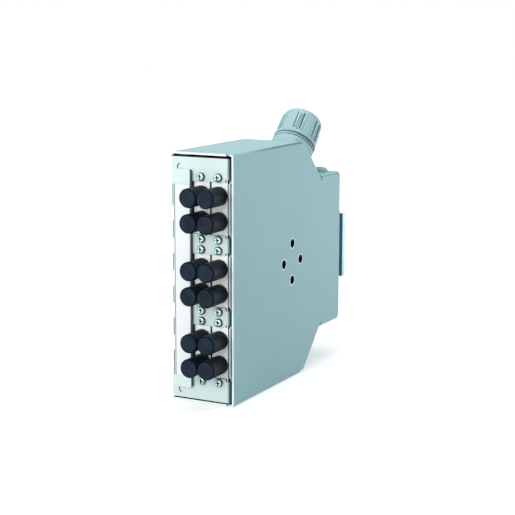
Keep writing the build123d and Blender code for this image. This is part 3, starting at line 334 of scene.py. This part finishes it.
# on the clip spacer this dark navy also stands in for the shade in the gap behind the clip plate
black_plastic = finish("black_plastic", BLACK, tone=0.1, patch=120, rough=0.5, grain=2400, bump=0.1,
                       specular=0.06)
ZINCED = {"rough": 0.3, "grain": 1800, "bump": 0.06, "metal": 0.6}
front_zinc = finish("front_zinc", ZINC, tone=0.35, patch=1300, **ZINCED)
zinc = finish("zinc_plate", STEEL, tone=0.12, patch=700, **ZINCED)
aluminium = finish("extruded_aluminium", ALUMINIUM, tone=0.06, patch=260, rough=0.4, grain=2200, bump=0.05,
                   metal=0.6, stretch=(0.04, 1, 1))
steel = finish("plated_steel", STEEL, tone=0.08, patch=300, rough=0.32, grain=2400, bump=0.05, metal=1.0)
nickel = finish("nickel_plate", NICKEL, tone=0.06, patch=400, rough=0.22, grain=2600, bump=0.04, metal=1.0)
ceramic = finish("ceramic", CERAMIC, tone=0.02, patch=400, rough=0.25, grain=4000, bump=0.02)
tray_plastic = finish("tray_plastic", TRAY, tone=0.03, patch=70, rough=0.5, grain=2600, bump=0.06)
clear_plastic = finish("clear_plastic", swatch(228, 236, 238), tone=0.01, patch=60, rough=0.12, grain=2000,
                       bump=0.01, alpha=0.35)

NODE_FINISH = {
    "cover": cover_coat, "chassis": coat, "front_panel": panel_coat, "panel_rivets": panel_coat,
    "label_holder": holder_plastic, "label_card": card_stock,
    "adapter_screws": front_zinc, "adapter_nuts": zinc,
    "gland_body": gland_ring, "gland_nut": gland_plastic, "gland_thrust_ring": gland_plastic,
    "gland_locknut": gland_plastic, "gland_gasket": gland_plastic, "gland_seal": seal_rubber,
    "din_clip_spacer": black_plastic, "din_clip_base": aluminium, "din_clip_latch": steel,
    "din_clip_spring": steel, "din_clip_screws": zinc, "din_clip_nuts": zinc, "cover_screws": coat,
    "splice_tray": tray_plastic, "splice_holder": black_plastic, "tray_lid": clear_plastic,
    "tray_posts": steel, "tray_screws": zinc,
}
KIND_FINISH = {
    "dust_cap": cap_rubber, "adapter": cream_plastic, "port_barrels": nickel, "alignment_sleeves": ceramic,
}


def finish_of(name):
    return NODE_FINISH.get(name) or KIND_FINISH[name.rsplit("_", 1)[0]]


for name, node in nodes.items():
    node.data.materials.clear()
    node.data.materials.append(finish_of(name))
print("finishes on", len(nodes), "nodes")


# %% [markdown]
# ## Painted highlights and shade lines of the cover
# The cover is one folded sheet. Its front edge, a cut, gets a painted highlight: a
# thin bright frame beside the darker side plate. The rims of the four punched holes
# get a painted highlight too, and their bores a painted dark shade. The crest of
# the long top bend gets a painted shade line that fades in behind the front, and
# the bend of the upper ledge tab a short one.

# %% Cover lines
X, Y, Z = (1, 0, 0), (0, 1, 0), (0, 0, 1)
LEFT, FORWARD, DOWN = (-1, 0, 0), (0, -1, 0), (0, 0, -1)
CUT_SHARP, CUT_FADED = 0.1 * MM, 0.25 * MM
TAB_START, TAB_BEND, TAB_LINE_HALF = 64.9 * MM, 106.1 * MM, 0.25 * MM
TOP_CREST = DIAGONAL * (SIDE + TOP - 2 * BEND) + BEND
CREST_DROP, CREST_LINE_HALF = 0.06 * MM, 0.12 * MM
CREST_START, CREST_FULL = -25 * MM, 5 * MM
HOLE_MIDDLE = Vector((SIDE, 27.7 * MM, 64.2 * MM))
HOLE_CIRCLE, HOLE_RADIUS = 10 * MM, 2.25 * MM
RIM_HALF, BORE_HALF = 1.05 * MM, 0.34 * MM
tree = cover_coat.node_tree
# painted highlight along the cover's front edge
paint(cover_coat, EDGE_HIGHLIGHT, slope(tree, FORWARD, -FRONT - CUT_FADED, -FRONT - CUT_SHARP))
# painted shade line on the crest of the top bend, then on the upper ledge tab's bend
paint(cover_coat, BEND_SHADE, line(tree, (DIAGONAL, 0, DIAGONAL), TOP_CREST - CREST_DROP, CREST_LINE_HALF),
      slope(tree, Y, CREST_START, CREST_FULL))
paint(cover_coat, BEND_SHADE, line(tree, Z, TAB_BEND, TAB_LINE_HALF),
      slope(tree, Y, TAB_START, TAB_START + 0.1 * MM))
# painted highlight round each side hole, and painted shade in its bore
for quarter in range(4):
    turned = Vector((0, math.cos(quarter * math.pi / 2), math.sin(quarter * math.pi / 2)))
    hole = HOLE_MIDDLE + HOLE_CIRCLE * turned
    on_side = slope(tree, X, SIDE - 0.3 * MM, SIDE - 0.2 * MM)
    paint(cover_coat, HOLE_RIM_HIGHLIGHT, ring(tree, hole, (0, 1, 1), HOLE_RADIUS, RIM_HALF), on_side)
    paint(cover_coat, UNLIT, ring(tree, hole, (0, 1, 1), HOLE_RADIUS - 0.1 * MM, BORE_HALF), on_side)
print("top bend crest at", round(TOP_CREST, 5))

# %% [markdown]
# ## Shaded rims of the front panel
# The panel sits in a narrow frame, and the shadow of the gap above it is painted
# on its upper rim. Its right edge is bent back: between the windows the bend looks
# into the dark gap and gets a painted deep green-blue shade. The two rivets are
# pressed flush, and a painted shadow line marks only the left half of each rim.

# %% Panel lines
ROWS = (100.6 * MM, 64.0 * MM, 27.4 * MM)
WINDOW_HALF = 13.3 * MM
RIVET_X, RIVET_RADIUS, RIVET_LINE_HALF = -12.216 * MM, 1.8 * MM, 0.4 * MM
RIVET_HEIGHTS = (120.6 * MM, 6.0 * MM)
tree = panel_coat.node_tree
clear_of_windows = [beyond(tree, Z, row, WINDOW_HALF) for row in ROWS]
# painted shade on the panel's right bend, clear of the windows
paint(panel_coat, PANEL_SHADE, slope(tree, X, panel_high.x - 1.5 * MM, panel_high.x - 0.4 * MM),
      *clear_of_windows)
# painted shadow on the panel's upper rim, under the gap
paint(panel_coat, UNLIT, slope(tree, Z, panel_high.z - 0.5 * MM, panel_high.z - 0.35 * MM))
# painted shadow line on the left half of each rivet rim
for height in RIVET_HEIGHTS:
    paint(panel_coat, PAINTED_SHADOW, ring(tree, (RIVET_X, 0, height), (1, 0, 1), RIVET_RADIUS, RIVET_LINE_HALF),
          slope(tree, LEFT, -RIVET_X + 0.3 * MM, -RIVET_X + 0.8 * MM))
print("windows at", ROWS, "rivets at", RIVET_HEIGHTS)

# %% [markdown]
# ## The holder's left rim
# The label card lies in a long holder with a thin lip. Its left edge turns away
# from the light, and so does the card's: both get a painted shade line. Where the
# lip is notched, a strip of the panel shows through and gets a painted highlight.
# All three stop where the card ends, above and below.

# %% Holder rim
card_low, card_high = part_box("label_card")
holder_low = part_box("label_holder")[0]


def left_rim(tree, edge, faded, full):
    return slope(tree, LEFT, -edge - faded, -edge - full)


def beside_card(tree):
    above_foot = slope(tree, Z, card_low.z, card_low.z + 0.5 * MM)
    below_head = slope(tree, DOWN, -card_high.z, -card_high.z + 0.5 * MM)
    return above_foot, below_head


tree = holder_plastic.node_tree
# painted shade on the left rims of the holder and card, painted highlight on the panel strip
paint(holder_plastic, LIP_SHADE, left_rim(tree, holder_low.x, 0.8 * MM, 0.6 * MM), *beside_card(tree))
paint(card_stock, LIP_SHADE, left_rim(card_stock.node_tree, card_low.x, 0.4 * MM, 0.25 * MM))
tree = panel_coat.node_tree
paint(panel_coat, EDGE_HIGHLIGHT, left_rim(tree, holder_low.x, 1.2 * MM, 0.9 * MM), *beside_card(tree))
print("card from", round(card_low.z, 4), "to", round(card_high.z, 4))

# %% [markdown]
# ## Shade between adapters, under screw heads and behind the caps
# The two columns of adapters leave a narrow gap between them, and a painted dark
# shade fills it. A small pan-head screw is bright on its dome and gets a painted
# shade where its side meets the panel. The rubber caps get a painted shade in the
# same way towards the adapters, and their blunt tips stay a little lighter.

# %% Depth shades
SEAM_X, SEAM_HALF = 4.5 * MM, 0.7 * MM
DOME_REACH, HEAD_FOOT_REACH = 1.62 * MM, 1.1 * MM
cap_low, cap_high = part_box("dust_cap_1")
# painted shade: the gap between the adapter columns, the screw sides and the caps towards the adapters
paint(cream_plastic, UNLIT, line(cream_plastic.node_tree, X, SEAM_X, SEAM_HALF))
paint(front_zinc, ZINC_SHADE, slope(front_zinc.node_tree, Y, FRONT - DOME_REACH, FRONT - HEAD_FOOT_REACH))
paint(cap_rubber, RUBBER_SHADE, slope(cap_rubber.node_tree, Y, cap_low.y + 0.5 * MM, cap_high.y - 3 * MM))
print("caps from", round(cap_low.y, 4), "to", round(cap_high.y, 4))

# %% [markdown]
# ## Shadow between the gland's ring and its nut
# The nut overhangs the ring, so towards the right the ring's upper rim lies in its
# shade, which is painted there. The ring's top is the highest corner that is wider
# than the neck.

# %% Gland shade
NECK_RADIUS = 10.5 * MM
tree = gland_ring.node_tree
outer = [vertex.co for vertex in nodes["gland_body"].data.vertices if off_gland(vertex.co) > NECK_RADIUS]
ring_top = max(along_gland(spot) for spot in outer)
rim_height = GLAND_FOOT.dot(GLAND_AXIS) + ring_top
# painted shade of the nut on the ring's upper rim
paint(gland_ring, PAINTED_SHADOW, slope(tree, GLAND_AXIS, rim_height - 1.0 * MM, rim_height - 0.7 * MM),
      slope(tree, X, 0, 9 * MM))
print("ring top", round(ring_top, 4))


# %% [markdown]
# ## Eased edges
# No real edge is perfectly sharp: paint rounds it, moulding rounds it, and the
# narrow round catches a line of light. A copy of a CAD node is merged, its flat
# triangles are joined, and a Bevel modifier rounds what is left. A weighted
# normal keeps the large flat faces evenly lit beside the narrow rounds. A round
# at a corner can stand out by a few thousandths of a millimetre, so each corner
# is held inside the node's own box.

# %% Edge helper
def merged_copy(name, label):
    piece = bpy.data.objects.new(label, nodes[name].data.copy())
    bpy.context.scene.collection.objects.link(piece)
    activate(piece)
    bpy.ops.object.mode_set(mode="EDIT")
    bpy.ops.mesh.select_all(action="SELECT")
    bpy.ops.mesh.remove_doubles(threshold=0.002 * MM)
    bpy.ops.mesh.dissolve_limited(angle_limit=math.radians(0.6))
    bpy.ops.object.mode_set(mode="OBJECT")
    return piece


def eased_copy(name, width, segments=2, angle=32):
    piece = merged_copy(name, name + "_eased")
    bevel = piece.modifiers.new("ease", "BEVEL")
    bevel.width = width * MM
    bevel.segments = segments
    bevel.limit_method = "ANGLE"
    bevel.angle_limit = math.radians(angle)
    bevel.miter_outer = "MITER_ARC"
    bpy.ops.object.modifier_apply(modifier=bevel.name)
    bpy.ops.object.shade_smooth_by_angle(angle=math.radians(40))
    low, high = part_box(name)
    for vertex in piece.data.vertices:
        vertex.co = [min(max(part, least), most) for part, least, most in zip(vertex.co, low, high)]
    even = piece.modifiers.new("even", "WEIGHTED_NORMAL")
    even.keep_sharp = True
    bpy.ops.object.modifier_apply(modifier=even.name)
    return piece


# %% [markdown]
# ## The nodes that get rounds
# Each node that shows gets about the round of its real edges: a folded sheet a
# tenth of a millimetre, a moulded part a little more, a rubber cap three tenths.
# The copy rides on its node's body and stands for the node in the picture. The
# node itself stays hidden for the motion model.

# %% Eased copies
ADAPTERS, CAPS = 6, 12
BODY_OF = {name: body for body, members in record["behaviour"]["bodies"].items() for name in members}


def stand_for(piece, name):
    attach(piece, BODY_OF[name])
    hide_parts(name)


EASED = {
    "cover": 0.12, "chassis": 0.12, "front_panel": 0.06, "panel_rivets": 0.03, "label_holder": 0.12,
    "label_card": 0.03, "adapter_screws": 0.06, "gland_body": 0.2, "gland_nut": 0.16, "gland_gasket": 0.1,
    "din_clip_spacer": 0.25, "din_clip_base": 0.15, "din_clip_latch": 0.15, "cover_screws": 0.12,
}
for number in range(1, ADAPTERS + 1):
    EASED[f"adapter_{number}"] = 0.12
    EASED[f"port_barrels_{number}"] = 0.08
for number in range(1, CAPS + 1):
    EASED[f"dust_cap_{number}"] = 0.3
eased = {}
for name, width in EASED.items():
    eased[name] = eased_copy(name, width)
    stand_for(eased[name], name)
print("eased", len(EASED), "nodes")


# %% [markdown]
# ## The latch spring
# The spring stands on a fixed seat in the clip plate, and the latch presses on its
# upper end. When the latch is pulled down, the coil gets shorter by the same
# stroke.

# %% Spring
spring = merged_copy("din_clip_spring", "din_clip_coil")
bpy.ops.object.shade_smooth_by_angle(angle=math.radians(60))
stand_for(spring, "din_clip_spring")
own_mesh(spring)


# %% [markdown]
# ## Faces that never see the light
# Inside a closed box the paint is the same, but no lamp reaches it. The picture
# would show it grey through every gap, because a studio sky shines into each
# slot. These faces get a second, nearly black finish as painted shade, chosen by
# where a face lies and which way it looks.

# %% Darken helper
def repaint(name, material, test):
    mesh = eased[name].data
    mesh.materials.append(material)
    chosen = 0
    for face in mesh.polygons:
        if test(face.center, face.normal):
            face.material_index = len(mesh.materials) - 1
            chosen += 1
    print(name, material.name, chosen, "faces")


def looks_inside(centre, normal):
    return normal.dot(HEART - centre) > 4 * MM


# %% [markdown]
# ## Which faces turn dark
# Most inner faces are found by the heart of the box: they look towards it. The
# bores of the side holes, the back and window edges of the panel, the sides of
# the adapters and the gland's neck under the nut have tests of their own. The
# holder's right flank and the rims of the cap tips get their own darker finish,
# because they turn away from the light.

# %% Dark inner faces
TIP_DEPTH, TIP_REACH = 0.6 * MM, 3.5 * MM
NECK_REACH, NECK_FOOT = 9.9 * MM, 2 * MM


def in_side_hole(centre, normal):
    spot = Vector((0, centre.y - HOLE_MIDDLE.y, centre.z - HOLE_MIDDLE.z))
    near_circle = abs(spot.length - HOLE_CIRCLE) < HOLE_RADIUS + 0.1 * MM
    return near_circle and centre.x > SIDE - 2 * SHEET and abs(normal.x) < 0.3


def unlit_on_panel(centre, normal):
    in_height = panel_low.z + 2 * MM < centre.z < panel_high.z - 2 * MM
    in_width = panel_low.x + 2 * MM < centre.x < panel_high.x - 0.5 * MM
    return normal.y > 0.5 or (abs(normal.y) < 0.3 and in_height and in_width)


def unlit_on_cover(centre, normal):
    return in_side_hole(centre, normal) or (looks_inside(centre, normal) and abs(normal.y) < 0.6)


repaint("cover", unlit, unlit_on_cover)
repaint("chassis", unlit, looks_inside)
repaint("front_panel", unlit, unlit_on_panel)
for number in range(1, CAPS + 1):
    low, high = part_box(f"dust_cap_{number}")
    middle = (low + high) / 2

    def on_tip_rim(centre, normal):
        reach = math.hypot(centre.x - middle.x, centre.z - middle.z)
        return centre.y < low.y + TIP_DEPTH and normal.y > -0.9 and reach > TIP_REACH

    repaint(f"dust_cap_{number}", cap_rim, on_tip_rim)
repaint("label_holder", holder_flank, lambda centre, normal: normal.x > 0.7)
for number in range(1, ADAPTERS + 1):
    repaint(f"adapter_{number}", unlit, lambda centre, normal: abs(normal.x) > 0.75)
repaint("gland_body", unlit,
        lambda centre, normal: off_gland(centre) < NECK_REACH and along_gland(centre) > NECK_FOOT)


# %% [markdown]
# ## Grip bands of the gland nut
# The nut is moulded with six pairs of ribs. Between the two ribs of a pair the
# mould has fine slanting ridges for the fingers, given a darker colour as painted
# shade. Each rib gets a thin light strip on its crest as a painted highlight, and
# a thin dark strip on its left as its painted shadow. One band is modelled upright
# on the axis, from small bars that an Array modifier repeats, then copied to the
# six places and laid onto the nut.

# %% Grip bands
PAIRS, FIRST_PAIR, HALF_SPREAD = 6, -65.0, 9.25
GRIP_LOW, GRIP_HIGH = 14.9 * MM, 26.2 * MM
NUT_FOOT_RADIUS, NUT_LEAN = 11.8 * MM, 0.5 * MM
BAR_STEP, BAR_LEAN = 0.85 * MM, math.radians(38)
BAR_SIZE, BAR_SHIFT = (0.12 * MM, 2.0 * MM, 0.32 * MM), -0.15 * MM
SHADE_OFFSET, SHADE_WIDTH, SHADE_PROUD = 4.2, 0.55 * MM, 0.04 * MM
CREST_WIDTH, CREST_PROUD = 0.5 * MM, 0.52 * MM


def nut_radius(height):
    return NUT_FOOT_RADIUS - NUT_LEAN * (height - NUT_LOW) / (NUT_TOP - NUT_LOW)


def bar(name, material, place, size, tilt=(0, 0, 0)):
    deselect()
    bpy.ops.mesh.primitive_cube_add(size=1, location=place, rotation=tilt)
    piece = bpy.context.object
    piece.name = name
    piece.scale = size
    bpy.ops.object.transform_apply(location=True, rotation=True, scale=True)
    piece.data.materials.append(material)
    return piece


def strip(name, material, angle, width, proud):
    middle = (GRIP_LOW + GRIP_HIGH) / 2
    radius = nut_radius(middle) + proud
    turned = math.radians(angle)
    lean = math.atan2(NUT_LEAN, NUT_TOP - NUT_LOW)
    place = (radius * math.cos(turned), radius * math.sin(turned), middle)
    return bar(name, material, place, (0.1 * MM, width, GRIP_HIGH - GRIP_LOW), (0, -lean, turned))


bars = bar("grip_bars", ridge_shade_plastic, (nut_radius(GRIP_LOW), BAR_SHIFT, GRIP_LOW + BAR_STEP),
           BAR_SIZE, (BAR_LEAN, 0, 0))
row = bars.modifiers.new("row", "ARRAY")
row.count = int((GRIP_HIGH - GRIP_LOW) / BAR_STEP) - 1
row.use_relative_offset = False
row.use_constant_offset = True
row.constant_offset_displace = (-NUT_LEAN * BAR_STEP / (NUT_TOP - NUT_LOW), 0, BAR_STEP)
activate(bars)
bpy.ops.object.modifier_apply(modifier=row.name)
parts = [bars]
for side in (-1, 1):
    angle = side * HALF_SPREAD
    # painted shadow strip beside each rib, painted highlight strip on its crest
    parts.append(strip("rib_shade", gland_painted_shadow, angle - SHADE_OFFSET, SHADE_WIDTH, SHADE_PROUD))
    parts.append(strip("rib_crest", rib_highlight, angle, CREST_WIDTH, CREST_PROUD))
deselect()
for part in parts:
    part.select_set(True)
bpy.context.view_layer.objects.active = bars
bpy.ops.object.join()
for number in range(PAIRS):
    band = bpy.data.objects.new(f"grip_band_{number + 1}", bars.data.copy())
    bpy.context.scene.collection.objects.link(band)
    band.matrix_world = GLAND_FRAME @ Matrix.Rotation(math.radians(FIRST_PAIR + number * 360 / PAIRS), 4, "Z")
    activate(band)
    bpy.ops.object.transform_apply(location=True, rotation=True, scale=True)
    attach(band, "nut")
bpy.data.objects.remove(bars)
print(PAIRS, "grip bands")


# %% [markdown]
# ## Camera
# The view looks at the box from its front right, a little from above. A long
# lens keeps the perspective as mild as in a catalogue picture.

# %% Camera
AZIMUTH = math.radians(27.597)
ELEVATION = math.radians(10.199)
ROLL = math.radians(0.09)
DISTANCE = 0.71909
AIM = Vector((0.01474, -0.00693, 0.07171))
LENS = 97.273

away = Vector((math.sin(AZIMUTH) * math.cos(ELEVATION), -math.cos(AZIMUTH) * math.cos(ELEVATION),
               math.sin(ELEVATION)))
bpy.ops.object.camera_add(location=AIM + DISTANCE * away)
camera = bpy.context.object
camera.rotation_euler = (Matrix.Rotation(AZIMUTH, 4, "Z") @ Matrix.Rotation(math.pi / 2 - ELEVATION, 4, "X")
                         @ Matrix.Rotation(ROLL, 4, "Z")).to_euler()
camera.data.lens = LENS
camera.data.sensor_width = 36
camera.data.clip_start = 0.01
bpy.context.scene.camera = camera
print("camera at", [round(part, 4) for part in camera.location])


# %% [markdown]
# ## Sky
# The sky is white to the camera and in reflections, but it lights the box only
# as much as a pale studio would. A Light Path node tells the two kinds of ray
# apart, so the white costs the object no colour.

# %% Sky
def seen_directly(tree):
    path = tree.nodes.new("ShaderNodeLightPath")
    factor = path.outputs["Is Camera Ray"]
    for ray in ("Is Glossy Ray", "Is Transmission Ray"):
        either = tree.nodes.new("ShaderNodeMath")
        either.operation = "MAXIMUM"
        tree.links.new(factor, either.inputs[0])
        tree.links.new(path.outputs[ray], either.inputs[1])
        factor = either.outputs["Value"]
    return factor


def mixed(tree, factor, hidden, shown):
    mix = tree.nodes.new("ShaderNodeMixShader")
    tree.links.new(factor, mix.inputs["Fac"])
    tree.links.new(hidden, mix.inputs[1])
    tree.links.new(shown, mix.inputs[2])
    return mix.outputs["Shader"]


world = bpy.data.worlds.new("studio")
bpy.context.scene.world = world
world.use_nodes = True
sky = world.node_tree
ambient = sky.nodes["Background"]
ambient.inputs["Color"].default_value = (0.86, 0.96, 1.0, 1.0)
ambient.inputs["Strength"].default_value = 0.45
white = sky.nodes.new("ShaderNodeBackground")
white.inputs["Color"].default_value = (1, 1, 1, 1)
white.inputs["Strength"].default_value = 1.0
sky.links.new(mixed(sky, seen_directly(sky), ambient.outputs["Background"], white.outputs["Background"]),
              sky.nodes["World Output"].inputs["Surface"])
print("sky strength", ambient.inputs["Strength"].default_value)

# %% [markdown]
# ## Floor
# The floor is a pale matt sheet that keeps the soft shadow under the box. A
# little glow lifts it to white, and more of it further away, where the lamps no
# longer reach. The glow is seen but lights nothing.

# %% Floor
FLOOR_DROP = 0.0002
bpy.ops.mesh.primitive_plane_add(size=6, location=(0, 0, -FLOOR_DROP))
floor = bpy.context.object
floor.name = "floor"
floor_paint = bpy.data.materials.new("floor_paint")
floor_paint.use_nodes = True
ground = floor_paint.node_tree
matt = ground.nodes["Principled BSDF"]
matt.inputs["Base Color"].default_value = (0.75, 0.75, 0.75, 1)
matt.inputs["Roughness"].default_value = 1.0
matt.inputs["Specular IOR Level"].default_value = 0.0
spot = ground.nodes.new("ShaderNodeTexCoord")
reach = ground.nodes.new("ShaderNodeVectorMath")
reach.operation = "LENGTH"
ground.links.new(spot.outputs["Object"], reach.inputs[0])
fade = ground.nodes.new("ShaderNodeMapRange")
fade.inputs["From Min"].default_value = 0.1
fade.inputs["From Max"].default_value = 0.5
fade.inputs["To Min"].default_value = 0.45
fade.inputs["To Max"].default_value = 1.0
ground.links.new(reach.outputs["Value"], fade.inputs["Value"])
glow = ground.nodes.new("ShaderNodeEmission")
ground.links.new(fade.outputs["Result"], glow.inputs["Strength"])
lifted = ground.nodes.new("ShaderNodeAddShader")
ground.links.new(matt.outputs["BSDF"], lifted.inputs[0])
ground.links.new(glow.outputs["Emission"], lifted.inputs[1])
ground.links.new(mixed(ground, seen_directly(ground), matt.outputs["BSDF"], lifted.outputs["Shader"]),
                 ground.nodes["Material Output"].inputs["Surface"])
floor.data.materials.append(floor_paint)


# %% [markdown]
# ## Lamps
# A large soft lamp stands nearly in line with the front, so the front is the
# brightest side and every small part there stays free of hard shadows. The top
# lamp is weaker, and a faint lamp on the right keeps the side plate in an even
# middle tone.

# %% Lamps
LAMP_AIM = Vector((0, 0, 0.064))


def soft_lamp(name, place, size, power, tint=(1, 1, 1)):
    bpy.ops.object.light_add(type="AREA", location=place)
    lamp = bpy.context.object
    lamp.name = name
    lamp.data.size = size
    lamp.data.energy = power
    lamp.data.color = tint
    lamp.rotation_euler = (LAMP_AIM - lamp.location).to_track_quat("-Z", "Y").to_euler()
    print(name, power, "W")


soft_lamp("front_lamp", (-0.2, -1.2, 0.42), 0.9, 11.8)
soft_lamp("top_lamp", (0.1, 0.1, 1.1), 0.8, 5.4, (1.0, 0.95, 0.9))
soft_lamp("side_lamp", (0.24, 0.42, 0.12), 0.25, 0.36, (0.86, 0.97, 1.0))
bpy.context.scene.view_settings.view_transform = "Standard"
